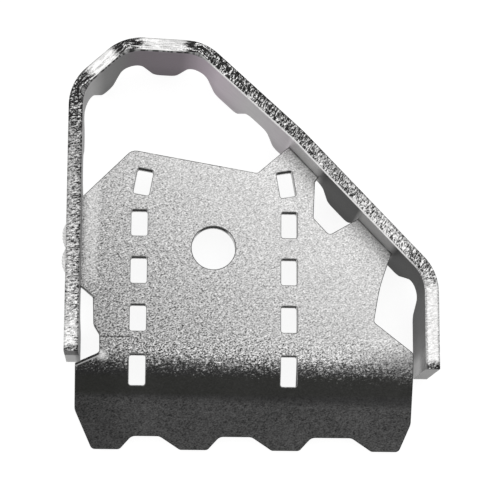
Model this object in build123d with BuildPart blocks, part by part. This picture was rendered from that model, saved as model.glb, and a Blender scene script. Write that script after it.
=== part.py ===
from build123d import *
from math import cos, radians, sin
import os

os.makedirs("parts", exist_ok=True)

# Foot pad of a motorcycle brake pedal, laid face down: the grip teeth point to -Z and the plain edge of the
# rim is on top. The origin is the centre of the bolt hole, in the plate's upper face. Millimetres.

# Material
SHEET = 2.4  # thickness of the plate
STRIP = 2.6  # thickness of the rim's flat bar
EDGE_BREAK = 0.25  # the rim's plain edge is deburred

# Hole and slots
HOLE_D = 8.2
SLOT_W = 3.05
SLOT_L = 5.0
SLOT_CORNER_R = 0.45
SLOT_PITCH = 8.9
SLOT_ROWS = 3
SLOT_COLUMN_X = 13.95  # from the middle of the pattern to each column
PATTERN_X = 0.15  # the pattern sits a little to the right of the hole
FIRST_SLOT_Y = 4.55  # the highest of the straight slots
TOP_SLOT_LEAN = 10  # degrees, both top slots lean in
TOP_SLOT_X = 13.35
TOP_SLOT_Y = 12.35
BEND_SLOT_L = 5.6  # the last pair runs into the bend and is longer
BEND_SLOT_Y = -22.8

# Rim, along its inner face
RIM_LEFT_X = -24.4
RIM_RIGHT_X = 38.4
LEFT_END_Y = -20.5
RIGHT_END_Y = -22.9
SHOULDER_X = -24.6  # where the left side turns inwards
SHOULDER_Y = 28.25
CROWN_LEFT = (-16.47, 35.87)  # ends of the short far side
CROWN_RIGHT = (-3.31, 35.38)
KINK = (14.5, 19.1)  # the slanted side is bent very slightly here
HIP_Y = -6.0  # where the slanted side turns down
BEND_R = 7.0
KINK_R = 40.0
PLAIN_EDGE_Z = 6.5  # how far the rim stands above the plate

# Teeth of the rim
TOOTH_H = 6.0
TOOTH_FLANK = 2.4  # run of each sloping side
GAP_FLAT = 5.0  # bottom of a gap on a straight side
BEND_GAP_FLAT = 3.6  # bottom of a gap on a bend
LEFT_PITCH = 12.9
LEFT_GAP_COUNT = 3
SLANT_PITCH = 15.0
SLANT_GAP_COUNT = 3
GAP_SHIFT = 0.45  # from the far side on, the gaps sit a little past the bends
GAP_R = 2.0  # corners at the bottom of a gap
TIP_R = 1.6  # corners at the tip of a tooth

# Front flange of the plate
EAR_REACH = 0.7  # how far the left ear goes under the end of the rim
SIDE_GAP = 1.3  # between the right edge and the rim
FLANGE_Y = -22.1  # where the upper faces of web and flange would meet
FLANGE_L = 16.2
FLANGE_DROP = 24  # degrees
FLANGE_BEND_R = 8.0
FLANGE_TOOTH_H = 2.6
FLANGE_TOOTH_W = 5.1
MIDDLE_TOOTH_X = (-3.1, 13.95)
STEEP_FLANK = 2.2
GENTLE_FLANK = 3.8
FLANGE_GAP_R = 1.6
FLANGE_TIP_R = 0.9
LEFT_SNIP = (3.2, 7.6)  # corners cut off the flange, across and along
RIGHT_SNIP = (2.0, 5.4)
SNIP_R = 2.5

# Outline of the web, with the three tabs that carry the rim
CORNER_R = 0.8
WEB_CORNER = (-15.4, 18.4)
WEB_CORNER_R = 2.0
WEB_NOTCH = (8.1, 14.4)
UPPER_TAB_START_X = 14.0
UPPER_TAB_END_X = 19.5
NECK = (18.9, 13.0)
FORK_SIDE = (18.6, 6.0)
FORK_FOOT = (21.6, 2.8)
LOWER_TAB_START_X = 27.0
LOWER_TAB_END_X = 33.2
FLANK_BOW = (31.0, -6.8)  # the right flank is slightly bowed
FLANK_BOW_R = 30.0
FLANK_FOOT = (29.8, -13.5)
RIGHT_CORNER_Y = -19.2
EAR_ROOT = (-20.7, -19.8)
EAR_GAP = 1.3  # the ear clears the end of the rim
WAIST = [(-20.8, -16.4), (-21.9, -14.6), (-22.1, -9.4)]
LEFT_TAB_FOOT_Y = -7.4
LEFT_TAB_TOP_Y = 9.2

# Welds outside the rim, one at each tab
WELD_L = 5.4  # one lump of the bead
WELD_R = 1.7
WELD_H = 1.0
WELD_PITCH = 4.7
LEFT_WELD_DROP = 1.2  # the left bead sits a little below the middle of its tab

slope = radians(FLANGE_DROP)
floor_z = -(FLANGE_L * sin(slope) + SHEET * cos(slope))  # all the teeth end on one plane
front_y = FLANGE_Y - FLANGE_L * cos(slope) - SHEET
flange_left_x = RIM_LEFT_X - EAR_REACH
flange_right_x = RIM_RIGHT_X - SIDE_GAP

left_end = Vector(RIM_LEFT_X, LEFT_END_Y)
shoulder = Vector(SHOULDER_X, SHOULDER_Y)
crown_left = Vector(*CROWN_LEFT)
crown_right = Vector(*CROWN_RIGHT)
kink = Vector(*KINK)
hip = Vector(RIM_RIGHT_X, HIP_Y)
right_end = Vector(RIM_RIGHT_X, RIGHT_END_Y)
rim_points = [left_end, shoulder, crown_left, crown_right, kink, hip, right_end]
rim_radii = [BEND_R, BEND_R, BEND_R, KINK_R, BEND_R]


def heading(a, b):
    return (b - a).normalized()


def past(a, b):
    """A point on the line from a to b, half a rim's thickness beyond b."""
    return b + heading(a, b) * STRIP / 2


def on_left(y):
    """The point of the rim's left inner face at this y, and the direction of the face there."""
    way = heading(left_end, shoulder)
    return left_end + way * ((y - LEFT_END_Y) / way.Y), way


def on_slant(x):
    """The point of the rim's slanted inner face at this x, and the direction of the face there."""
    a, b = (crown_right, kink) if x < kink.X else (kink, hip)
    return a + (b - a) * ((x - a.X) / (b.X - a.X)), heading(a, b)


def along_slant(distance):
    """The point at this distance from the crown, and the direction there."""
    first = (kink - crown_right).length
    if distance < first:
        return crown_right + heading(crown_right, kink) * distance, heading(crown_right, kink)
    return kink + heading(kink, hip) * (distance - first), heading(kink, hip)


def gap_profile(left, right, left_run, right_run, depth, tip_r, gap_r):
    """The gap between two teeth, drawn up from the line of the tips, with rounded corners."""
    with BuildSketch() as gap:
        with BuildLine():
            Polyline(
                (left - tip_r, -tip_r),
                (left - tip_r, 0),
                (left, 0),
                (left + left_run, depth),
                (right - right_run, depth),
                (right, 0),
                (right + tip_r, 0),
                (right + tip_r, -tip_r),
                close=True,
            )
        make_face()
        fillet(gap.vertices().group_by(Axis.Y)[1].sort_by(Axis.X)[1:3], tip_r)
        fillet(gap.vertices().group_by(Axis.Y)[-1], gap_r)
    return gap.sketch


def snip_profile(side_x, toward, across, along):
    """A corner cut off the flange, with its two corners rounded."""
    tip_x = side_x + toward * across
    with BuildSketch() as snip:
        with BuildLine():
            Polyline(
                (side_x - toward * SNIP_R, -FLANGE_TIP_R),
                (tip_x + toward * FLANGE_TIP_R, -FLANGE_TIP_R),
                (tip_x + toward * FLANGE_TIP_R, 0),
                (tip_x, 0),
                (side_x, along),
                (side_x, along + SNIP_R),
                (side_x - toward * SNIP_R, along + SNIP_R),
                close=True,
            )
        make_face()
        fillet(snip.vertices().sort_by_distance((tip_x, 0))[0], FLANGE_TIP_R)
        fillet(snip.vertices().sort_by_distance((side_x, along))[0], SNIP_R)
    return snip.sketch


# Rim: a flat bar on edge, bent to shape, with teeth cut along its lower edge. There is a gap at each bend
# but the slight one, and evenly spaced gaps on the two long sides.
side_half = GAP_FLAT / 2 + TOOTH_FLANK
bend_half = BEND_GAP_FLAT / 2 + TOOTH_FLANK
side_gap = gap_profile(-side_half, side_half, TOOTH_FLANK, TOOTH_FLANK, TOOTH_H, TIP_R, GAP_R)
bend_gap = gap_profile(-bend_half, bend_half, TOOTH_FLANK, TOOTH_FLANK, TOOTH_H, TIP_R, GAP_R)
gaps = [(*on_left(shoulder.Y - LEFT_PITCH * (i + 1)), side_gap) for i in range(LEFT_GAP_COUNT)]
for i in range(SLANT_GAP_COUNT):
    place, way = along_slant(SLANT_PITCH * (i + 1) + GAP_SHIFT)
    gaps.append((place, way, side_gap))
for before, bend, after, shift in (
    (left_end, shoulder, crown_left, 0),
    (shoulder, crown_left, crown_right, GAP_SHIFT),
    (crown_left, crown_right, kink, GAP_SHIFT),
    (kink, hip, right_end, GAP_SHIFT),
):
    way = (heading(before, bend) + heading(bend, after)).normalized()
    gaps.append((bend + way * shift, way, bend_gap))

with BuildPart() as rim:
    with BuildSketch(Plane.XY.offset(floor_z)):
        with BuildLine():
            FilletPolyline(*rim_points, radius=rim_radii)
            offset(amount=STRIP, side=Side.LEFT)
        make_face()
    extrude(amount=PLAIN_EDGE_Z - floor_z)
    chamfer(rim.faces().sort_by(Axis.Z)[-1].edges(), EDGE_BREAK)
    for place, way, profile in gaps:
        with BuildSketch(Plane(place + Vector(0, 0, floor_z), x_dir=way, z_dir=way.cross(Vector(0, 0, 1)))):
            add(profile)
        extrude(amount=2 * STRIP + BEND_R, both=True, mode=Mode.SUBTRACT)
rim.part.label = "rim"
export_step(rim.part, "parts/rim.step")

# Plate: sheet with its front edge bent down, cut to the web's outline. Each tab is cut to the inner face of
# the rim, so it stays seated when the rim changes.
upper_start = on_slant(UPPER_TAB_START_X)[0]
upper_end = on_slant(UPPER_TAB_END_X)[0]
lower_start = on_slant(LOWER_TAB_START_X)[0]
lower_end = on_slant(LOWER_TAB_END_X)[0]
left_tab_top = on_left(LEFT_TAB_TOP_Y)[0]
left_tab_foot = on_left(LEFT_TAB_FOOT_Y)[0]
outline = [
    (past(Vector(*WEB_CORNER), left_tab_top), 0),
    (WEB_CORNER, WEB_CORNER_R),
    (WEB_NOTCH, CORNER_R),
    (past(Vector(*WEB_NOTCH), upper_start), 0),
    (past(Vector(*NECK), upper_end), 0),
    (NECK, CORNER_R),
    (FORK_SIDE, CORNER_R),
    (FORK_FOOT, CORNER_R),
    (past(Vector(*FORK_FOOT), lower_start), 0),
    (past(Vector(*FLANK_BOW), lower_end), 0),
    (FLANK_BOW, FLANK_BOW_R),
    (FLANK_FOOT, CORNER_R),
    ((flange_right_x, RIGHT_CORNER_Y), CORNER_R),
    ((flange_right_x, front_y), 0),
    ((flange_left_x, front_y), 0),
    ((flange_left_x, LEFT_END_Y - EAR_GAP), 0),
    (EAR_ROOT, CORNER_R),
    *[(point, CORNER_R) for point in WAIST],
    (past(Vector(*WAIST[-1]), left_tab_foot), 0),
]

with BuildPart() as plate:
    with BuildSketch(Plane.YZ.offset(flange_left_x)):
        with BuildLine():
            FilletPolyline(
                (CROWN_LEFT[1], 0),
                (FLANGE_Y, 0),
                (FLANGE_Y - FLANGE_L * cos(slope), -FLANGE_L * sin(slope)),
                radius=FLANGE_BEND_R,
            )
            offset(amount=SHEET, side=Side.LEFT)
        make_face()
    extrude(amount=flange_right_x - flange_left_x)

    with BuildSketch(Plane.XY.offset(floor_z)):
        with BuildLine():
            FilletPolyline(*[p for p, r in outline], radius=[r for p, r in outline], close=True)
        make_face()
        with BuildLine():
            FilletPolyline(*rim_points, radius=rim_radii)
            Polyline(
                right_end,
                (RIM_RIGHT_X, front_y),
                (flange_left_x - STRIP, front_y),
                (flange_left_x - STRIP, LEFT_END_Y),
                left_end,
            )
        make_face(mode=Mode.INTERSECT)
    extrude(amount=PLAIN_EDGE_Z - floor_z, mode=Mode.INTERSECT)

    with BuildSketch(Plane.XY.offset(PLAIN_EDGE_Z)):
        Circle(HOLE_D / 2)
        with Locations((PATTERN_X, FIRST_SLOT_Y - SLOT_PITCH * (SLOT_ROWS - 1) / 2)):
            with GridLocations(2 * SLOT_COLUMN_X, SLOT_PITCH, 2, SLOT_ROWS):
                RectangleRounded(SLOT_W, SLOT_L, SLOT_CORNER_R)
        for side in (-1, 1):
            with Locations((PATTERN_X + side * SLOT_COLUMN_X, BEND_SLOT_Y)):
                RectangleRounded(SLOT_W, BEND_SLOT_L, SLOT_CORNER_R)
            with Locations((PATTERN_X + side * TOP_SLOT_X, TOP_SLOT_Y)):
                RectangleRounded(SLOT_W, SLOT_L, SLOT_CORNER_R, rotation=side * TOP_SLOT_LEAN)
    extrude(amount=floor_z - PLAIN_EDGE_Z, mode=Mode.SUBTRACT)

    tips = Plane(
        (0, FLANGE_Y - FLANGE_L * cos(slope), -FLANGE_L * sin(slope)),
        x_dir=(1, 0, 0),
        z_dir=(0, -sin(slope), cos(slope)),
    )
    tooth_x = [
        flange_left_x + LEFT_SNIP[0] + FLANGE_TOOTH_W / 2,
        *MIDDLE_TOOTH_X,
        flange_right_x - RIGHT_SNIP[0] - FLANGE_TOOTH_W / 2,
    ]
    cuts = [snip_profile(flange_left_x, 1, *LEFT_SNIP), snip_profile(flange_right_x, -1, *RIGHT_SNIP)]
    for a, b in zip(tooth_x, tooth_x[1:]):
        left, right = a + FLANGE_TOOTH_W / 2, b - FLANGE_TOOTH_W / 2
        cuts.append(
            gap_profile(left, right, STEEP_FLANK, GENTLE_FLANK, FLANGE_TOOTH_H, FLANGE_TIP_R, FLANGE_GAP_R)
        )
    for cut in cuts:
        with BuildSketch(tips):
            add(cut)
        extrude(amount=2 * SHEET, both=True, mode=Mode.SUBTRACT)
plate.part.label = "plate"
export_step(plate.part, "parts/plate.step")


# Welds: a bead of two lumps at each tab, cut to the outer face of the rim, so it stays seated too
weld_places = {
    "left_weld": on_left((LEFT_TAB_TOP_Y + LEFT_TAB_FOOT_Y) / 2 - LEFT_WELD_DROP),
    "upper_weld": on_slant((UPPER_TAB_START_X + UPPER_TAB_END_X) / 2),
    "lower_weld": on_slant((LOWER_TAB_START_X + LOWER_TAB_END_X) / 2),
}
for name, (middle, way) in weld_places.items():
    outward = Vector(0, 0, 1).cross(way)
    seat = middle + outward * STRIP - Vector(0, 0, SHEET / 2)
    with BuildPart() as weld:
        for step in (-WELD_PITCH / 2, WELD_PITCH / 2):
            centre = seat + way * step - outward * (WELD_R - WELD_H)
            with BuildSketch(Plane(centre, x_dir=way, z_dir=Vector(0, 0, 1))):
                with BuildLine():
                    EllipticalCenterArc((0, 0), WELD_L / 2, WELD_R, arc_size=180)
                    Line((-WELD_L / 2, 0), (WELD_L / 2, 0))
                make_face()
            revolve(axis=Axis(centre, way))
        split(bisect_by=Plane(seat, z_dir=outward))
        add(rim.part, mode=Mode.SUBTRACT)
    weld.part.label = name
    export_step(weld.part, f"parts/{name}.step")
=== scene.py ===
from math import hypot, pi, radians, sin, tan

import bmesh
import bpy
from mathutils import Matrix, Vector


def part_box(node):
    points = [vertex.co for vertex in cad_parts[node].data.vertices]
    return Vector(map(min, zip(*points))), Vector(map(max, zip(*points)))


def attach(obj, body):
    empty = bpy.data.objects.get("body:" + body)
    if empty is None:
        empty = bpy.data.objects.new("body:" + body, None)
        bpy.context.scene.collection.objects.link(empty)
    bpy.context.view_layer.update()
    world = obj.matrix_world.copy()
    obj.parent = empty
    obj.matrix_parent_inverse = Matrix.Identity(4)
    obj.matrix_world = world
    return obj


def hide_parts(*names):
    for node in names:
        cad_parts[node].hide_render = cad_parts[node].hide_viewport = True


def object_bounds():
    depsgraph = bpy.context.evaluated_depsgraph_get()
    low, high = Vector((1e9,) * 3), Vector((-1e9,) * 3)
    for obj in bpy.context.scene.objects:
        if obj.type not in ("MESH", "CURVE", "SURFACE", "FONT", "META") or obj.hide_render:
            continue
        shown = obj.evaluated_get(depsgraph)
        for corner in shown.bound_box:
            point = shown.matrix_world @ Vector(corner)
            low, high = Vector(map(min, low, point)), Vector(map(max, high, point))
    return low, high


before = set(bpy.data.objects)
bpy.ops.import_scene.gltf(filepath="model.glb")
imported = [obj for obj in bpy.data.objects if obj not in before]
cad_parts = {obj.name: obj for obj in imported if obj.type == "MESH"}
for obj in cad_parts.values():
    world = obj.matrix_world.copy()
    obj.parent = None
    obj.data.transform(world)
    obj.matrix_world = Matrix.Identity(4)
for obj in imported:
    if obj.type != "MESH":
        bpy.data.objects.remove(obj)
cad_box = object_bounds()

bl_info = {
    "name": "Brake pedal foot pad",
    "version": (1, 0, 0),
    "blender": (4, 5, 0),
    "location": "3D View > Sidebar > Foot Pad",
    "description": "Gives a brake pedal's toothed foot pad its steel finishes, weld beads and worn edges",
    "category": "Object",
}

MM = 0.001

# Places on the pad are in millimetres, in the CAD's frame
SHEET = 2.4
BAR = 2.6
PLAIN_EDGE_Z = 6.5
EDGE_BREAK = 0.25
HOLE_R = 4.1

# The bend between web and flange, along the sheet's upper face
BEND_START_Y = -20.4
BEND_R = 8.0
FLANGE_DROP = radians(24)
FLANGE_REACH = 40.0  # more than the flange is long

# The root of the left ear, and the way out over the ear's upper edge
EAR_ROOT = (-20.7, -19.8)
EAR_NORMAL = (-0.41, 0.91)

# The corners of the rim's inner face, from its left end round to its right end
RIM_CORNERS = (
    (-24.4, -20.5),
    (-24.6, 28.25),
    (-16.47, 35.87),
    (-3.31, 35.38),
    (14.5, 19.1),
    (38.4, -6.0),
    (38.4, -22.9),
)
KINK = RIM_CORNERS[4]

# How the rim's finish and the light and shade painted on it change along it: pairs of the distance from its
# left end and a value of 0 to 1. The level of the cut edge may lie below 0, so its pairs hold (level + 0.5)
# / 1.5.
CUT_LEVEL = (
    (0.6, 0.43), (1.4, 0.81), (8, 0.61), (26, 0.55), (41, 0.48), (46.5, 0.21), (50, 0.16),
    (52.3, 0.81), (57, 0.87), (59.3, 0.16), (61.2, 0.20), (63, 0.78), (70, 0.78), (72.2, 0.11),
    (79, 0.09), (84, 0.24), (90, 0.34), (101, 0.47), (110, 0.51), (118, 0.60), (126, 0.57),
    (131, 0.45), (134.3, 0.80), (147.4, 0.83), (147.9, 0.23),
)
CUT_SPREAD = (
    (0, 0.22), (10, 0.24), (26, 0.21), (41, 0.20), (48.5, 0.60), (53, 0.14), (58, 0.15), (60.5, 0.60),
    (64, 0.13), (70, 0.14), (72.5, 0.78), (80, 0.70), (90, 0.37), (101, 0.30), (113, 0.28), (131, 0.34),
    (134.5, 0.09), (147.4, 0.09), (148.2, 0.36),
)
LENGTHWISE_MARKS = ((47, 0), (50, 1), (72, 1), (76, 0))
# The painted highlight along the inner corner of the cut edge, and where it shows
BRIGHT_CORNER = ((47, 0.03), (73, 0.03), (77, 0.95), (128, 0.95))
DASHED_CORNER = ((47, 0.24), (72, 0.24), (76, 0.0))
HIGHLIT_CORNER = ((46, 0), (50, 1), (126, 1), (131, 0.2))
# Side faces, with painted reflections and shade along the inner face
SIDE_LEVEL = (
    (0, 0.24), (4, 0.28), (8, 0.47), (44, 0.50), (50.5, 0.54), (54, 0.29), (60, 0.22), (70, 0.24),
    (73, 0.40), (78, 0.63), (92, 0.64), (95.8, 0.62), (97, 0.93), (103.8, 0.95), (105.4, 0.15),
    (114.6, 0.13), (115.8, 0.76), (123.4, 0.70), (124.8, 0.145), (133, 0.12), (141, 0.17),
    (144.5, 0.28), (146.5, 0.74),
)
MAUVE_TINT = ((58, 0), (62, 0.8), (74, 1), (80, 0.7), (87, 0.1), (96, 0.4), (99, 0))

# Levels of the steel, from black to the full colour
DARKEST = 0.012
BRIGHTEST = 0.95
OUTER_SIDE_LEVEL = 0.36
UNDERSIDE_LEVEL = 0.30
# Colour of the band of painted shade on the flange just past the bend
FLANGE_SHADE_COLOUR = (0.030, 0.031, 0.026)
MAUVE = (1.06, 0.93, 1.03)

LIP_SIDES = 6
BURR_SEED = 7
BEAD_SEED = 11
RIPPLE_INSET = 0.6  # how far the end ripples sit inside the lumps' ends, as a share of their half length

# The stage, in metres: the floor and how it looks where it is seen, the strength of the world in the light
# that it casts and what is added where it is seen, the lamps as name, place, size and share of the power,
# and the camera
FLOOR_HALF = 1.5
FLOOR_GAP = 0.01 * MM
SEEN_FLOOR_COLOUR = (0.30, 0.30, 0.30, 1)
SEEN_FLOOR_GLOW = 0.88
LIGHTING_STRENGTH = 0.55
SEEN_EXTRA_STRENGTH = 0.45
LAMPS = (
    ("overhead_lamp", (0.10, 0.22, 0.70), 0.50, 1.0),
    ("side_lamp", (-0.55, 0.10, 0.45), 0.35, 0.35),
)
CAMERA_PLACE = (-0.01414, -0.06509, 0.32731)
CAMERA_RIGHT = (0.997898, 0.004977, 0.06473)
CAMERA_UP = (-0.017418, 0.981027, 0.19309)


class Value:
    """A number in a node tree, so that its maths reads as an expression."""

    def __init__(self, nodes, socket):
        self.nodes = nodes
        self.socket = socket

    def __add__(self, other):
        return self.nodes.maths("ADD", self, other)

    def __radd__(self, other):
        return self.nodes.maths("ADD", other, self)

    def __sub__(self, other):
        return self.nodes.maths("SUBTRACT", self, other)

    def __rsub__(self, other):
        return self.nodes.maths("SUBTRACT", other, self)

    def __mul__(self, other):
        return self.nodes.maths("MULTIPLY", self, other)

    def __rmul__(self, other):
        return self.nodes.maths("MULTIPLY", other, self)

    def __truediv__(self, other):
        return self.nodes.maths("DIVIDE", self, other)

    def __rtruediv__(self, other):
        return self.nodes.maths("DIVIDE", other, self)

    def __neg__(self):
        return self.nodes.maths("MULTIPLY", self, -1.0)

    def __abs__(self):
        return self.nodes.maths("ABSOLUTE", self)

    def __gt__(self, other):
        return self.nodes.maths("GREATER_THAN", self, other)

    def __lt__(self, other):
        return self.nodes.maths("LESS_THAN", self, other)

    def root(self):
        return self.nodes.maths("SQRT", self)

    def within(self, low, high):
        """The value, held between two limits."""
        return self.nodes.maths("MINIMUM", self.nodes.maths("MAXIMUM", self, low), high)

    def rise(self, start, end):
        """0 up to start, 1 from end on, and smooth between them. With start past end it falls."""
        settings = {"interpolation_type": "SMOOTHSTEP"}
        sockets = {0: self, 1: start, 2: end, 3: 0.0, 4: 1.0}
        return self.nodes.number("ShaderNodeMapRange", settings, sockets)

    def toward(self, other, share):
        """This value, moved to the other by a share from 0 to 1."""
        sockets = {0: share, 2: self, 3: other}
        return self.nodes.number("ShaderNodeMix", {"data_type": "FLOAT"}, sockets)


class Nodes:
    """A node tree and the few ways in which its nodes are added."""

    def __init__(self, tree):
        self.tree = tree

    def add(self, kind, settings=None, sockets=None):
        """A node, with its settings made first and then its sockets set or linked."""
        node = self.tree.nodes.new(kind)
        for name, value in (settings or {}).items():
            if name == "stops":
                self._stops(node.color_ramp, value)
            else:
                setattr(node, name, value)
        for key, value in (sockets or {}).items():
            if isinstance(value, Value):
                value = value.socket
            if isinstance(value, bpy.types.NodeSocket):
                self.tree.links.new(value, node.inputs[key])
            else:
                node.inputs[key].default_value = value
        return node

    def _stops(self, ramp, stops):
        while len(ramp.elements) < len(stops):
            ramp.elements.new(1.0)
        for element, (place, colour) in zip(ramp.elements, stops):
            element.position = place
            element.color = (*colour, 1.0)

    def number(self, kind, settings=None, sockets=None, output=0):
        return Value(self, self.add(kind, settings, sockets).outputs[output])

    def maths(self, operation, *terms):
        return self.number("ShaderNodeMath", {"operation": operation}, dict(enumerate(terms)))

    def vector(self, x, y, z):
        return self.add("ShaderNodeCombineXYZ", None, {0: x, 1: y, 2: z}).outputs[0]

    def parts(self, vector):
        node = self.add("ShaderNodeSeparateXYZ", None, {0: vector})
        return [Value(self, socket) for socket in node.outputs]

    def scaled(self, vector, factor):
        sockets = {0: vector, "Scale": factor}
        return self.add("ShaderNodeVectorMath", {"operation": "SCALE"}, sockets).outputs[0]

    def reach(self, vector, x, y):
        """How far a vector reaches in this direction of the plate's plane."""
        sockets = {0: vector, 1: (x, y, 0)}
        return self.number("ShaderNodeVectorMath", {"operation": "DOT_PRODUCT"}, sockets, 1)

    def seen(self):
        """1 for light seen straight, mirrored or through glass, and 0 for light that falls on things."""
        rays = self.add("ShaderNodeLightPath")
        kinds = (rays.outputs[f"Is {kind} Ray"] for kind in ("Camera", "Glossy", "Transmission"))
        camera, glossy, through = (Value(self, ray) for ray in kinds)
        return (camera + glossy + through).within(0.0, 1.0)


class Finish(Nodes):
    """The node tree of one material."""

    def __init__(self, name):
        self.material = bpy.data.materials.new(name)
        self.material.use_nodes = True
        super().__init__(self.material.node_tree)
        self.tree.nodes.clear()

    def place(self):
        """The place on the piece in millimetres, whole and as x, y and z."""
        where = self.scaled(self.add("ShaderNodeTexCoord").outputs["Object"], 1 / MM)
        return where, *self.parts(where)

    def facing(self):
        """The way that the surface faces, as x, y and z."""
        return self.parts(self.add("ShaderNodeTexCoord").outputs["Normal"])

    def noise(self, where, grain, detail=2.0, roughness=0.6, distortion=0.0):
        """Noise about zero whose blotches are about this many millimetres across."""
        sockets = {"Vector": where, "Scale": 1 / grain, "Detail": detail}
        sockets |= {"Roughness": roughness, "Distortion": distortion}
        return self.number("ShaderNodeTexNoise", None, sockets) - 0.5

    def ramp(self, along, pairs):
        """A value that follows the distance along the rim, given as pairs of distance and value."""
        stops = [(place / RIM_LENGTH, (value, value, value)) for place, value in pairs]
        return self.number("ShaderNodeValToRGB", {"stops": stops}, {0: along / RIM_LENGTH})

    def shade(self, level, colour):
        """A colour at this level: black at 0 and the colour itself at 1."""
        return self.blend((0.0, 0.0, 0.0), colour, level)

    def blend(self, first, second, share):
        first, second = (c if isinstance(c, bpy.types.NodeSocket) else (*c, 1.0) for c in (first, second))
        sockets = {0: share, 6: first, 7: second}
        return self.add("ShaderNodeMix", {"data_type": "RGBA"}, sockets).outputs[2]

    def bump(self, height, depth, strength):
        """A normal from a height of 0 to 1 that stands for this many millimetres."""
        sockets = {"Height": height, "Distance": depth * MM, "Strength": strength}
        return self.add("ShaderNodeBump", None, sockets).outputs[0]

    def steel(self, colour, roughness, metallic, normal, glancing=1.0):
        """Ends the material in metal. Glancing is how much of the light it throws back at low angles."""
        sockets = {"Base Color": colour, "Roughness": roughness, "Metallic": metallic, "Normal": normal}
        sockets["Specular Tint"] = (glancing, glancing, glancing, 1.0)
        sockets["Specular IOR Level"] = 0.5 * glancing
        surface = self.add("ShaderNodeBsdfPrincipled", None, sockets)
        self.add("ShaderNodeOutputMaterial", None, {"Surface": surface.outputs[0]})
        return self.material


class Maker(Nodes):
    """A Geometry Nodes tree that builds on lines of edges, and the way it is put to use on a mesh. Its
    inputs are given as names and kinds, and the material is one more."""

    def __init__(self, name, inputs):
        super().__init__(bpy.data.node_groups.new(name, "GeometryNodeTree"))
        face = self.tree.interface
        face.new_socket("Geometry", in_out="INPUT", socket_type="NodeSocketGeometry")
        face.new_socket("Geometry", in_out="OUTPUT", socket_type="NodeSocketGeometry")
        self.identifiers = {}
        for label, kind in {**inputs, "Material": "Material"}.items():
            socket = face.new_socket(label, in_out="INPUT", socket_type="NodeSocket" + kind)
            self.identifiers[label] = socket.identifier
        self.input = self.add("NodeGroupInput")

    def given(self, label):
        return Value(self, self.input.outputs[label])

    def lines(self):
        """The edges of the mesh as curves."""
        return self.add("GeometryNodeMeshToCurve", None, {0: self.input.outputs["Geometry"]}).outputs[0]

    def points(self, mode, label):
        """Points along the lines. The input of this name is their COUNT, or the LENGTH between them."""
        sockets = {"Curve": self.lines(), mode.capitalize(): self.given(label)}
        return self.add("GeometryNodeResampleCurve", {"mode": mode}, sockets).outputs[0]

    def sunk(self, geometry, depth):
        """The lines or points, moved into the material by this depth."""
        inset = self.add("GeometryNodeInputNamedAttribute", {"data_type": "FLOAT_VECTOR"}, {"Name": "inset"})
        sockets = {"Geometry": geometry, "Offset": self.scaled(inset.outputs["Attribute"], depth)}
        return self.add("GeometryNodeSetPosition", None, sockets).outputs[0]

    def laid(self, points, copy, rotation, scale):
        """A copy of a shape on each point."""
        sockets = {"Points": points, "Instance": copy.outputs[0], "Rotation": rotation, "Scale": scale}
        return self.add("GeometryNodeInstanceOnPoints", None, sockets).outputs[0]

    def random(self, low, high, seed):
        sockets = {2: low, 3: high, "Seed": seed}
        return self.number("FunctionNodeRandomValue", {"data_type": "FLOAT"}, sockets, 1)

    def random_vector(self, low, high, seed):
        """Three random numbers, with this seed and the two after it."""
        return self.vector(*(self.random(low, high, seed + step) for step in range(3)))

    def end(self, geometry):
        """Makes the instances real, gives them the material, and closes the tree."""
        real = self.add("GeometryNodeRealizeInstances", None, {0: geometry})
        sockets = {"Geometry": real.outputs[0], "Material": self.given("Material")}
        painted = self.add("GeometryNodeSetMaterial", None, sockets)
        self.add("NodeGroupOutput", None, {0: painted.outputs[0]})

    def run(self, piece, **values):
        """Runs the tree on a piece and leaves the result as its plain mesh."""
        modifier = piece.modifiers.new(self.tree.name, "NODES")
        modifier.node_group = self.tree
        for label, value in values.items():
            modifier[self.identifiers[label.replace("_", " ").capitalize()]] = value
        bpy.context.view_layer.update()
        made = bpy.data.meshes.new_from_object(piece.evaluated_get(bpy.context.evaluated_depsgraph_get()))
        piece.modifiers.clear()
        piece.data = made
        if not made.polygons:
            raise RuntimeError(f"{piece.name} came out empty")
        return piece


def new_piece(name, data):
    piece = bpy.data.objects.new(name, data)
    bpy.context.scene.collection.objects.link(piece)
    return piece


def paint(node, finish):
    """Gives a CAD node this finish all over."""
    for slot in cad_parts[node].material_slots:
        slot.material = finish


def merged(node):
    """A CAD node's mesh as a bmesh whose loose triangles are joined."""
    solid = bmesh.new()
    solid.from_mesh(node.data)
    bmesh.ops.remove_doubles(solid, verts=solid.verts, dist=1e-6)
    solid.normal_update()
    return solid


def edge_lines(name, node, is_upper, is_side):
    """The edges of a node between its upper faces and its sides, as a mesh of edges. The attribute inset
    points from each edge back into the material."""
    solid = merged(node)
    lines = bmesh.new()
    inset = lines.verts.layers.float_vector.new("inset")
    copies = {}
    for edge in solid.edges:
        if len(edge.link_faces) != 2:
            continue
        normals = [face.normal for face in edge.link_faces]
        upper = [n for n in normals if is_upper(n)]
        side = [n for n in normals if is_side(n)]
        if len(upper) != 1 or len(side) != 1:
            continue
        ends = []
        for vert in edge.verts:
            if vert.index not in copies:
                copies[vert.index] = lines.verts.new(vert.co)
                copies[vert.index][inset] = (0, 0, 0)
            copy = copies[vert.index]
            copy[inset] = copy[inset] - side[0] - upper[0]
            ends.append(copy)
        lines.edges.new(ends)
    for vert in lines.verts:
        vert[inset] = vert[inset].normalized()
    mesh = bpy.data.meshes.new(name)
    lines.to_mesh(mesh)
    lines.free()
    solid.free()
    return mesh


def rim_runs():
    """The straight runs of the rim, each as its start, its direction and the distance before it, and the
    length of them all."""
    runs, covered = [], 0.0
    for (ax, ay), (bx, by) in zip(RIM_CORNERS, RIM_CORNERS[1:]):
        length = hypot(bx - ax, by - ay)
        runs.append(((ax, ay), ((bx - ax) / length, (by - ay) / length), covered))
        covered += length
    return runs, covered


RIM_RUNS, RIM_LENGTH = rim_runs()


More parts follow.
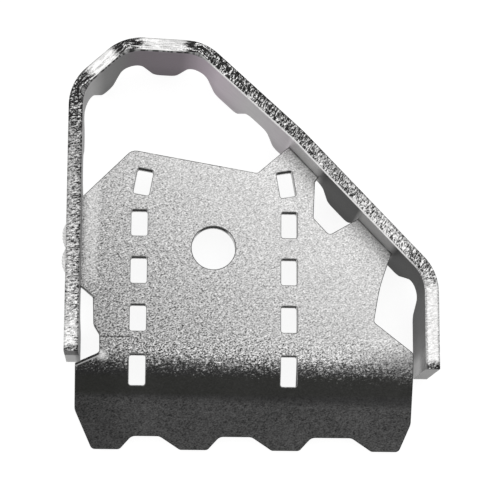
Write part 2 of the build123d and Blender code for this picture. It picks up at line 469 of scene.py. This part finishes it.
def follow_rim(finish, where):
    """Distance along the rim from its left end, and distance out from its inner face. The rim bends one way
    only, so a point belongs to the run that it lies furthest out from."""
    along = out = None
    for (ax, ay), (ux, uy), covered in RIM_RUNS:
        this_along = finish.reach(where, ux, uy) + (covered - ax * ux - ay * uy)
        this_out = finish.reach(where, -uy, ux) + (ax * uy - ay * ux)
        if along is None:
            along, out = this_along, this_out
        else:
            along = along.toward(this_along, this_out > out)
            out = finish.maths("MAXIMUM", out, this_out)
    return along, out


def sheet_depth(y, z):
    """How far a point lies below the sheet's upper face, over web, bend and flange."""
    bend_reach = BEND_R * sin(FLANGE_DROP)
    run = (BEND_START_Y - y).within(0.0, bend_reach)
    bend_drop = BEND_R - (BEND_R**2 - run * run).root()
    straight_drop = (BEND_START_Y - bend_reach - y).within(0.0, FLANGE_REACH) * tan(FLANGE_DROP)
    return -z - bend_drop - straight_drop


def plate_finish(look):
    """Plated sheet: shot-blasted grain, painted light and shade over web and bend, a flange painted dark as
    shade, and torn walls at the cuts.
    """
    f = Finish("blasted_sheet")
    where, x, y, z = f.place()

    depth = sheet_depth(y, z)
    wall = depth.rise(0.05, 0.2)
    underside = depth.rise(SHEET - 0.2, SHEET - 0.05)

    # The blasted grain is a little longer than wide, and lies aslant
    aslant = f.vector(x * 0.62 + y * 0.42, y * 0.86 - x * 0.36, z)
    fine = f.noise(aslant, 0.25, 2.0, 0.75)
    medium = f.noise(aslant, 0.62, 1.0, 0.5)
    broad = f.noise(where, 6.0, 2.0, 0.5)
    specks = fine * look.grain_contrast + medium * 0.9

    # Web: a painted highlight that grows brighter to the right and to the top, painted shade where the
    # slanted side of the rim stands close, and a painted reflection of the rim as a lighter band on the left
    # tab
    web = (0.418 + x * 0.0038 + y * 0.0045).within(0.22, 0.52) * look.web_level
    nearness = [(x - KINK[0]) * -uy + (y - KINK[1]) * ux for _, (ux, uy), _ in RIM_RUNS[3:5]]
    gap = -f.maths("MAXIMUM", *nearness)
    speckled = (1 + (0.43 - web) * 5.5).within(0.8, 1.8) * (1 + 0.45 * y.rise(-15.0, -19.5))
    web = web * (0.80 + 0.20 * gap.rise(0.0, 3.6))
    tab_band = x.rise(-24.4, -23.4) * x.rise(-20.6, -22.4) * y.rise(-9.0, -5.0)
    web = web * (1 + 0.42 * tab_band)
    web = web * (1 + specks * speckled * (1 - 0.4 * tab_band) + broad * 0.2)
    # A thin dark line of painted shade in the crease at the foot of the slanted side
    web = web * (1 - 0.7 * gap.rise(0.40, 0.12) * (0.6 + fine * 3.0).within(0.0, 1.0))
    # Painted shade over the bend near the right edge
    web = web * (1 - 0.53 * x.rise(20.0, 37.0) * y.rise(-17.3, -21.7))

    # Bend: the web's painted highlight breaks up into dark specks, then the flange is painted dark as shade,
    # with a smoother band first and darker to the left. Both lines lie lower to the right.
    lit_line = -20.94 - (x + 10) * 0.026 - x.rise(30.0, 37.0) * 0.7
    lit = ((y - lit_line) + fine * 8.5 + medium * 3.0).rise(-2.0, 2.5 - x * 0.02)
    band_end = -26.9 - x * 0.028
    grainy = y.rise(band_end, band_end - 2.0)
    flange = (0.0335 + 0.006 * x.rise(0.0, 30.0) + 0.030 * grainy) * look.flange_level
    flange = flange * (1 + specks * (0.5 + 0.45 * grainy) + broad * 0.5)
    flange = flange * (0.75 + 0.25 * x.rise(-22.0, -12.0))
    tone = flange.toward(web, lit)

    # A painted glint at the root of the left ear, and scribed lines beside it and across from it
    ear_x, ear_y = x + 20.3, y + 20.2
    ear_glint = (ear_x * ear_x + ear_y * ear_y).root().rise(1.5, 0.2)
    tone = tone.toward(0.72, ear_glint * (0.62 + fine))
    left_line = abs(y + 16.85 + f.noise(where, 2.0) * 0.12).rise(0.15, 0.06)
    left_scribe = left_line * x.rise(-21.2, -20.4) * x.rise(-14.6, -15.6)
    right_line = abs(y + 17.0 + f.noise(where, 1.7) * 0.3).rise(0.16, 0.05)
    right_scribe = right_line * x.rise(26.0, 29.0) * x.rise(33.2, 32.0)
    tone = tone * (1 - 0.75 * left_scribe) + right_scribe * 0.18

    # The ear's upper edge is painted as a dark groove of shade with a painted highlight line under it
    from_ear_edge = (x - EAR_ROOT[0]) * EAR_NORMAL[0] + (y - EAR_ROOT[1]) * EAR_NORMAL[1]
    on_ear = x.rise(-20.4, -21.0) * y.rise(-17.5, -18.5)
    tone = tone.toward(0.02, on_ear * from_ear_edge.rise(-0.45, -0.32))
    tone = tone.toward(0.34, on_ear * abs(from_ear_edge + 0.52).rise(0.14, 0.06))

    # Cut walls: rough broken metal painted light, as lit from the floor, which in the walls that face -Y
    # lies under a smooth band painted dark as the shade under the lip. The ends of the flange's teeth have
    # no such band. On the flange the walls are painted darker, as its shade.
    torn = f.noise(f.vector(x * 2.6, y * 2.6, z * 0.7), 1.0, 2.0, 0.6)
    below_band = f.maths("MAXIMUM", depth.rise(1.75, 1.95), y.rise(-27.0, -28.0))
    broken = f.facing()[1].rise(-0.86, -0.64).toward(1.0, below_band)
    broken = broken * (0.15 + 0.60 * y.rise(-22.0, -20.5))
    wall_tone = (DARKEST + 0.02 * depth.rise(0.6, 2.0) + broken) * (1 + torn * 1.2)
    tone = tone.toward(wall_tone, wall).toward(UNDERSIDE_LEVEL * (1 + specks * 0.6), underside)

    colour = f.shade(tone.within(DARKEST, BRIGHTEST), look.steel_colour)
    # A band of painted shade on the flange just past the bend
    flange_shade = y.rise(-23.2, -24.2) * y.rise(-27.6, -26.8)
    colour = f.blend(colour, FLANGE_SHADE_COLOUR, flange_shade * (1 - wall) * 0.35)
    roughness = 0.42 + 0.10 * y.rise(-22.0, -24.0) + 0.12 * wall + fine * 0.25
    height = 0.5 + fine * 0.8 + torn * wall * 1.2
    return f.steel(colour, roughness, 0.85, f.bump(height, 0.035, 0.3), 0.5)


def rim_finish(look):
    """Plated flat bar: satin faces with painted reflections and shade, a painted highlight along the inner
    corner, and a cut edge torn into bright and dark marks.
    """
    f = Finish("plated_bar")
    where, x, y, z = f.place()
    along, out = follow_rim(f, where)
    cut = z.rise(PLAIN_EDGE_Z - EDGE_BREAK - 0.05, PLAIN_EDGE_Z - EDGE_BREAK + 0.05)
    inner_break = cut * out.rise(EDGE_BREAK + 0.03, EDGE_BREAK - 0.05)

    # Torn marks on the cut edge lie across the bar, but along it on the two short far sides
    across_marks = f.noise(f.vector(along * 4.4 + out * 0.9, out * 1.7, z), 1.0, 2.0, 0.65, 0.1)
    along_marks = f.noise(f.vector(along * 0.5, out * 3.4, z), 1.0, 2.0, 0.6, 0.5)
    grit = f.noise(where, 0.27, 2.0, 0.7)
    marks = across_marks.toward(along_marks, f.ramp(along, LENGTHWISE_MARKS)) + grit * 0.55

    level = f.ramp(along, CUT_LEVEL) * 1.5 - 0.5
    spread = f.ramp(along, CUT_SPREAD)
    inward = 0.5 - out / BAR
    spread = spread * (1 + inward * 0.5)
    level = level - inward * along.rise(48.0, 40.0) * 0.16
    edge_level = (level + marks * spread * look.mark_contrast).within(0.018, 0.9) * look.edge_level
    rims = out.rise(0.55, 0.25) + out.rise(BAR - 0.55, BAR - 0.25)
    pitted = (0.25 + 0.35 * along.rise(132.0, 135.0)) * rims * grit.rise(-0.05, 0.05)
    edge_level = edge_level * (1 - pitted)

    # The inner corner of the cut edge carries a painted highlight: a bright line on the slanted side and a
    # dashed one on the far sides
    dashes = f.noise(f.vector(along * 0.9, 0.0, 0.0), 1.0, 2.0, 0.6).rise(-0.05, 0.07)
    corner = f.ramp(along, BRIGHT_CORNER) * (1 + grit * 1.5) + f.ramp(along, DASHED_CORNER) * dashes

    # Side faces: satin, with painted reflections and shade: darker inside between the tabs and along the far
    # sides, lighter at the tabs, and darker towards the bottom
    outer = out.rise(1.4, 1.8)
    side = f.ramp(along, SIDE_LEVEL).toward(OUTER_SIDE_LEVEL, outer) * look.side_level
    satin = f.noise(f.vector(x * 0.5, y * 0.5, z * 3.0), 1.0, 3.0, 0.6)
    side = side * (1 + satin * 0.22 + grit * 0.12)
    side = side * (1 - 0.12 * z.rise(-2.0, -8.0))

    # End faces: darker on the upper part of the left one, which is also darker towards the inner face, and
    # along the top of the right one
    end_face = along.rise(0.05, 0.02) + along.rise(RIM_LENGTH - 0.05, RIM_LENGTH - 0.02)
    right_end = along.rise(60.0, 80.0)
    smudge_z = 0.2 + right_end * 4.9
    dark_patch = z.rise(smudge_z, smudge_z + 1.0) * (0.9 + grit * 1.5).within(0.0, 1.0)
    end_level = (0.70 - 0.21 * right_end) * (1 - 0.85 * dark_patch)
    end_level = end_level * (1 - 0.45 * out.rise(0.9, 0.3) * (1 - right_end))
    side = side.toward(end_level, end_face)

    # The painted highlight along the inner corner, where it shows
    worn = inner_break * f.ramp(along, HIGHLIT_CORNER)
    tone = side.toward(edge_level, cut).toward(corner.within(0.03, 0.9), worn).within(0.015, BRIGHTEST)
    mauve = f.ramp(along, MAUVE_TINT) * (1 - cut) * (1 - outer)
    colour = f.blend(f.shade(tone, look.steel_colour), f.shade(tone, MAUVE), mauve)
    roughness = 0.36 + 0.12 * cut + grit * 0.2
    height = 0.5 + marks * cut * 0.9 + grit * 0.25
    return f.steel(colour, roughness, 0.88, f.bump(height, 0.07, 0.8), 0.35)


def weld_finish(look):
    """Weld metal under the plating: ripples painted lighter where they face up, as lit from above, with
    sooty blotches.
    """
    f = Finish("weld_metal")
    where = f.place()[0]
    grit = f.noise(where, 0.35, 3.0, 0.65)
    soot = f.noise(where, 1.4, 2.0, 0.5)
    top_light = f.facing()[2].rise(-0.1, 0.6)
    tone = ((0.36 + 0.36 * top_light) * (1 + grit * 0.9 + soot)).within(0.05, 0.9) * look.weld_level
    colour = f.shade(tone, look.steel_colour)
    return f.steel(colour, 0.38 + soot * 0.3, 0.85, f.bump(0.5 + grit, 0.06, 0.7))


def worn_edge_finish(look):
    """The broken edge of a cut: dull, with short bright stretches. It is lighter at the slots and where the
    left tab meets the rim, darkest round the bolt hole, and painted dark on the flange as the flange's
    shade."""
    f = Finish("worn_edge")
    where, x, y, _ = f.place()
    at_slots = abs(x).rise(17.6, 17.2) * y.rise(-26.6, -26.2) * y.rise(15.6, 15.2)
    at_rim = x.rise(-23.9, -24.1)
    at_hole = (x * x + y * y).root().rise(HOLE_R + 1.4, HOLE_R + 0.9)
    dull = (0.035 + 0.14 * at_slots + 0.28 * at_rim) * (1 + f.noise(where, 0.3) * 1.8)
    dashes = f.noise(where, 0.9, 2.0, 0.6)
    bright_stretch = dashes.rise(0.08, 0.15) * (1 - 0.8 * at_hole)
    tone = (dull * (1 - 0.75 * at_hole)).toward(0.30, bright_stretch)
    # Painted shade on the flange, matching the flange's own
    tone = tone.toward(tone * 0.22, y.rise(-21.0, -23.6) * (1 - at_slots))
    colour = f.shade(tone.within(0.02, 0.9) * look.lip_level, look.steel_colour)
    return f.steel(colour, 0.45, 0.85, f.bump(0.5 + dashes, 0.03, 0.5))


def floor_finish(colour):
    """White to the eye and in the metal, with the pad's shadow on it, and a plain colour to other light."""
    f = Finish("pale_floor")
    plain = f.add("ShaderNodeBsdfDiffuse", None, {"Color": (*colour, 1)})
    shadowed = f.add("ShaderNodeBsdfDiffuse", None, {"Color": SEEN_FLOOR_COLOUR})
    glow = f.add("ShaderNodeEmission", None, {"Color": (1, 1, 1, 1), "Strength": SEEN_FLOOR_GLOW})
    white = f.add("ShaderNodeAddShader", None, {0: shadowed.outputs[0], 1: glow.outputs[0]})
    surface = f.add("ShaderNodeMixShader", None, {0: f.seen(), 1: plain.outputs[0], 2: white.outputs[0]})
    f.add("ShaderNodeOutputMaterial", None, {"Surface": surface.outputs[0]})
    return f.material


def studio_world():
    """A white room, which casts only about half the light that it shows."""
    world = bpy.data.worlds.new("studio")
    world.use_nodes = True
    nodes = Nodes(world.node_tree)
    nodes.tree.nodes.clear()
    strength = nodes.seen() * SEEN_EXTRA_STRENGTH + LIGHTING_STRENGTH
    sky = nodes.add("ShaderNodeBackground", None, {"Color": (1, 1, 1, 1), "Strength": strength})
    nodes.add("ShaderNodeOutputWorld", None, {"Surface": sky.outputs[0]})
    return world


def lip_tree():
    """A thin rounded lip along every cut edge of the sheet."""
    maker = Maker("cut_edge_lip", {"Lip radius": "Float", "Sides": "Int"})
    radius = maker.given("Lip radius")
    sockets = {"Resolution": maker.given("Sides"), "Radius": radius}
    ring = maker.add("GeometryNodeCurvePrimitiveCircle", None, sockets)
    sockets = {"Curve": maker.sunk(maker.lines(), radius), "Profile Curve": ring.outputs[0]}
    lip = maker.add("GeometryNodeCurveToMesh", None, sockets)
    maker.end(lip.outputs[0])
    return maker


def burr_tree():
    """Small torn grains along the corners of the rim's cut edge."""
    maker = Maker("torn_burrs", {"Spacing": "Float", "Grain size": "Float", "Seed": "Int"})
    size = maker.given("Grain size")
    seed = maker.given("Seed")
    depth = size * maker.random(1.0, 1.2, seed) * 1.5
    places = maker.sunk(maker.points("LENGTH", "Spacing"), depth)
    grain = maker.add("GeometryNodeMeshIcoSphere", None, {"Radius": size, "Subdivisions": 1})
    scale = maker.random_vector(0.5, 1.0, seed + 1)
    spin = maker.random_vector(0.0, 2 * pi, seed + 4)
    maker.end(maker.laid(places, grain, spin, scale))
    return maker


def bead_tree():
    """A weld bead: ripples laid one over the next along a line, swelling into two lumps."""
    inputs = {
        "Ripples": "Int",
        "Bead length": "Float",
        "Lump length": "Float",
        "Lump pitch": "Float",
        "Bead radius": "Float",
        "Ripple thickness": "Float",
        "Seed": "Int",
    }
    maker = Maker("weld_bead", inputs)
    place = Value(maker, maker.add("GeometryNodeSplineParameter").outputs[0])
    from_middle = abs((place - 0.5) * maker.given("Bead length"))
    from_lump = abs(from_middle - maker.given("Lump pitch") / 2) / (maker.given("Lump length") / 2)
    swell = (1 - from_lump * from_lump).within(0.16, 1.0).root()
    reach = swell * maker.given("Bead radius") * maker.random(0.95, 1.0, maker.given("Seed"))
    ripple = maker.add("GeometryNodeMeshUVSphere", None, {"Segments": 20, "Rings": 12, "Radius": 1.0})
    direction = maker.add("GeometryNodeInputTangent")
    sockets = {"Vector": direction.outputs[0]}
    facing = maker.add("FunctionNodeAlignRotationToVector", {"axis": "Z"}, sockets)
    scale = maker.vector(reach, reach, maker.given("Ripple thickness"))
    laid = maker.laid(maker.points("COUNT", "Ripples"), ripple, facing.outputs[0], scale)
    smooth = maker.add("GeometryNodeSetShadeSmooth", None, {"Geometry": laid})
    maker.end(smooth.outputs[0])
    return maker


class SteelLook(bpy.types.PropertyGroup):
    steel_colour: bpy.props.FloatVectorProperty(
        name="Steel colour",
        description="Colour of the plating where it is brightest",
        subtype="COLOR",
        size=3,
        min=0.0,
        max=1.0,
        default=(1.0, 0.995, 0.99),
    )
    web_level: bpy.props.FloatProperty(
        name="Web level",
        description="How light the flat web is",
        subtype="FACTOR",
        default=1.0,
        min=0.2,
        max=1.5,
    )
    flange_level: bpy.props.FloatProperty(
        name="Flange level",
        description="How light the bent flange is",
        subtype="FACTOR",
        default=1.0,
        min=0.2,
        max=4.0,
    )
    grain_contrast: bpy.props.FloatProperty(
        name="Grain contrast",
        description="How strong the blasted grain is",
        default=3.8,
        min=0.0,
        max=6.0,
    )
    edge_level: bpy.props.FloatProperty(
        name="Cut edge level",
        description="How light the rim's cut edge is",
        subtype="FACTOR",
        default=1.0,
        min=0.2,
        max=1.5,
    )
    mark_contrast: bpy.props.FloatProperty(
        name="Mark contrast",
        description="How strong the torn marks on the cut edge are",
        default=11.5,
        min=0.0,
        max=20.0,
    )
    side_level: bpy.props.FloatProperty(
        name="Side level",
        description="How light the rim's satin faces are",
        subtype="FACTOR",
        default=1.0,
        min=0.2,
        max=1.5,
    )
    weld_level: bpy.props.FloatProperty(
        name="Weld level",
        description="How light the weld metal is",
        subtype="FACTOR",
        default=1.0,
        min=0.2,
        max=1.5,
    )
    lip_level: bpy.props.FloatProperty(
        name="Edge wear",
        description="How light the worn cut edges are",
        subtype="FACTOR",
        default=1.0,
        min=0.2,
        max=1.5,
    )


class EdgeSizes(bpy.types.PropertyGroup):
    lip_radius: bpy.props.FloatProperty(
        name="Lip radius",
        description="Radius of the lip along the sheet's cut edges",
        unit="LENGTH",
        default=0.085 * MM,
    )
    burr_spacing: bpy.props.FloatProperty(
        name="Burr spacing",
        description="Distance between burrs on the rim's cut edge",
        unit="LENGTH",
        default=0.3 * MM,
    )
    burr_size: bpy.props.FloatProperty(
        name="Burr size",
        description="Radius of the largest burrs",
        unit="LENGTH",
        default=0.13 * MM,
    )


class WeldSizes(bpy.types.PropertyGroup):
    lump_length: bpy.props.FloatProperty(
        name="Lump length",
        description="Length of one lump of the bead",
        unit="LENGTH",
        default=5.4 * MM,
    )
    lump_pitch: bpy.props.FloatProperty(
        name="Lump pitch",
        description="Distance between the two lumps",
        unit="LENGTH",
        default=4.7 * MM,
    )
    bead_radius: bpy.props.FloatProperty(
        name="Bead radius",
        description="Radius of the bead at its thickest",
        unit="LENGTH",
        default=1.7 * MM,
    )
    ripples: bpy.props.IntProperty(
        name="Ripples",
        description="Ripples in one bead",
        default=17,
        min=3,
        max=60,
    )
    ripple_thickness: bpy.props.FloatProperty(
        name="Ripple thickness",
        description="Half the length of one ripple along the bead",
        unit="LENGTH",
        default=0.75 * MM,
    )


class StageSizes(bpy.types.PropertyGroup):
    lens: bpy.props.FloatProperty(
        name="Lens",
        description="Focal length of the camera in millimetres",
        default=129.6,
        min=20.0,
    )
    lamp_power: bpy.props.FloatProperty(
        name="Lamp power",
        description="Power of the large soft lamp overhead",
        unit="POWER",
        default=0.8,
        min=0.0,
    )
    floor_colour: bpy.props.FloatVectorProperty(
        name="Floor colour",
        description="Colour of the floor",
        subtype="COLOR",
        size=3,
        default=(0.8, 0.8, 0.8),
    )


class PAD_OT_plate(bpy.types.Operator):
    """Give the plate its blasted steel, with its painted light and shade"""

    bl_idname = "foot_pad.plate"
    bl_label = "Finish the plate"

    def execute(self, context):
        paint("plate", plate_finish(context.scene.foot_pad_look))
        return {"FINISHED"}


class PAD_OT_rim(bpy.types.Operator):
    """Give the rim its plated bar, satin on the sides and torn on the cut edge"""

    bl_idname = "foot_pad.rim"
    bl_label = "Finish the rim"

    def execute(self, context):
        paint("rim", rim_finish(context.scene.foot_pad_look))
        return {"FINISHED"}


class PAD_OT_edges(bpy.types.Operator):
    """Run a lip along the sheet's cut edges and burrs along the rim's"""

    bl_idname = "foot_pad.edges"
    bl_label = "Wear the edges"

    def execute(self, context):
        sizes = context.scene.foot_pad_edges
        plate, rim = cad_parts["plate"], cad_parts["rim"]
        lips = edge_lines("sheet_lips", plate, lambda n: n.z > 0.88 and abs(n.x) < 0.1, lambda n: n.z < 0.5)
        lips = lip_tree().run(
            new_piece("sheet_lips", lips),
            lip_radius=sizes.lip_radius,
            sides=LIP_SIDES,
            material=worn_edge_finish(context.scene.foot_pad_look),
        )
        burrs = edge_lines("rim_burrs", rim, lambda n: n.z > 0.99, lambda n: 0.5 < n.z < 0.9)
        burrs = burr_tree().run(
            new_piece("rim_burrs", burrs),
            spacing=sizes.burr_spacing,
            grain_size=sizes.burr_size,
            seed=BURR_SEED,
            material=rim.material_slots[0].material,
        )
        for piece, slot in ((lips, "sheet"), (burrs, "bar")):
            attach(piece, "root")
        return {"FINISHED"}


class PAD_OT_welds(bpy.types.Operator):
    """Lay a rippled bead over each weld outside the rim"""

    bl_idname = "foot_pad.welds"
    bl_label = "Lay the weld beads"

    def execute(self, context):
        sizes = context.scene.foot_pad_welds
        metal = weld_finish(context.scene.foot_pad_look)
        maker = bead_tree()
        thickness = sizes.ripple_thickness
        half = (sizes.lump_pitch + sizes.lump_length) / 2 - thickness * RIPPLE_INSET
        left, _, _, upper, lower, _ = (Vector((*way, 0)) for _, way, _ in RIM_RUNS)
        ways = {"left": left, "upper": upper, "lower": lower}
        for number, (name, way) in enumerate(ways.items()):
            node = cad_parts[name + "_weld"]
            low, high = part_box(name + "_weld")
            middle = (Vector(low) + Vector(high)) / 2
            outward = Vector((0, 0, 1)).cross(way)
            reach = max((Vector(v.co) - middle).dot(outward) for v in node.data.vertices)
            middle += outward * (reach - sizes.bead_radius)
            mesh = bpy.data.meshes.new(name + "_bead")
            mesh.from_pydata([middle - way * half, middle + way * half], [(0, 1)], [])
            bead = maker.run(
                new_piece(name + "_bead", mesh),
                ripples=sizes.ripples,
                bead_length=half * 2,
                lump_length=sizes.lump_length,
                lump_pitch=sizes.lump_pitch,
                bead_radius=sizes.bead_radius,
                ripple_thickness=thickness,
                seed=BEAD_SEED + number,
                material=metal,
            )
            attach(bead, "root")
            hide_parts(name + "_weld")
        return {"FINISHED"}


class PAD_OT_stage(bpy.types.Operator):
    """Set the pale floor, the soft lamps and the camera"""

    bl_idname = "foot_pad.stage"
    bl_label = "Set the stage"

    def execute(self, context):
        scene = context.scene
        sizes = scene.foot_pad_stage
        scene.view_settings.view_transform = "Standard"

        level = cad_box[0][2] - FLOOR_GAP
        corners = [(x * FLOOR_HALF, y * FLOOR_HALF, level) for x, y in ((-1, -1), (1, -1), (1, 1), (-1, 1))]
        mesh = bpy.data.meshes.new("floor")
        mesh.from_pydata(corners, [], [(0, 1, 2, 3)])
        mesh.materials.append(floor_finish(sizes.floor_colour))
        new_piece("floor", mesh)
        scene.world = studio_world()

        for name, place, size, share in LAMPS:
            lamp = bpy.data.lights.new(name, "AREA")
            lamp.size = size
            lamp.energy = sizes.lamp_power * share
            holder = new_piece(name, lamp)
            holder.location = place
            holder.rotation_euler = (-Vector(place)).to_track_quat("-Z", "Y").to_euler()

        camera = bpy.data.cameras.new("camera")
        camera.lens = sizes.lens
        camera.sensor_width = 36.0
        camera.clip_start = 0.01
        holder = new_piece("camera", camera)
        right, up = Vector(CAMERA_RIGHT), Vector(CAMERA_UP)
        back = right.cross(up).normalized()
        up = back.cross(right).normalized()
        turned = Matrix((right.normalized(), up, back)).transposed()
        holder.matrix_world = Matrix.Translation(CAMERA_PLACE) @ turned.to_4x4()
        scene.camera = holder
        return {"FINISHED"}


class PAD_PT_panel(bpy.types.Panel):
    """Sizes, finishes and steps of the foot pad"""

    bl_label = "Foot pad"
    bl_idname = "PAD_PT_panel"
    bl_space_type = "VIEW_3D"
    bl_region_type = "UI"
    bl_category = "Foot Pad"

    def draw(self, context):
        scene = context.scene
        for group in (scene.foot_pad_look, scene.foot_pad_edges, scene.foot_pad_welds, scene.foot_pad_stage):
            box = self.layout.box()
            for name in group.__annotations__:
                box.prop(group, name)
        for step in STEPS:
            self.layout.operator(step.bl_idname)


GROUPS = {
    "foot_pad_look": SteelLook,
    "foot_pad_edges": EdgeSizes,
    "foot_pad_welds": WeldSizes,
    "foot_pad_stage": StageSizes,
}
STEPS = (PAD_OT_plate, PAD_OT_rim, PAD_OT_edges, PAD_OT_welds, PAD_OT_stage)


def register():
    for kind in (*GROUPS.values(), *STEPS, PAD_PT_panel):
        bpy.utils.register_class(kind)
    for name, kind in GROUPS.items():
        setattr(bpy.types.Scene, name, bpy.props.PointerProperty(type=kind))


def unregister():
    for name in GROUPS:
        delattr(bpy.types.Scene, name)
    for kind in (PAD_PT_panel, *reversed(STEPS), *GROUPS.values()):
        bpy.utils.unregister_class(kind)


def main():
    register()
    bpy.ops.foot_pad.plate()
    bpy.ops.foot_pad.rim()
    bpy.ops.foot_pad.edges()
    bpy.ops.foot_pad.welds()
    bpy.ops.foot_pad.stage()


if __name__ == "__main__":
    main()
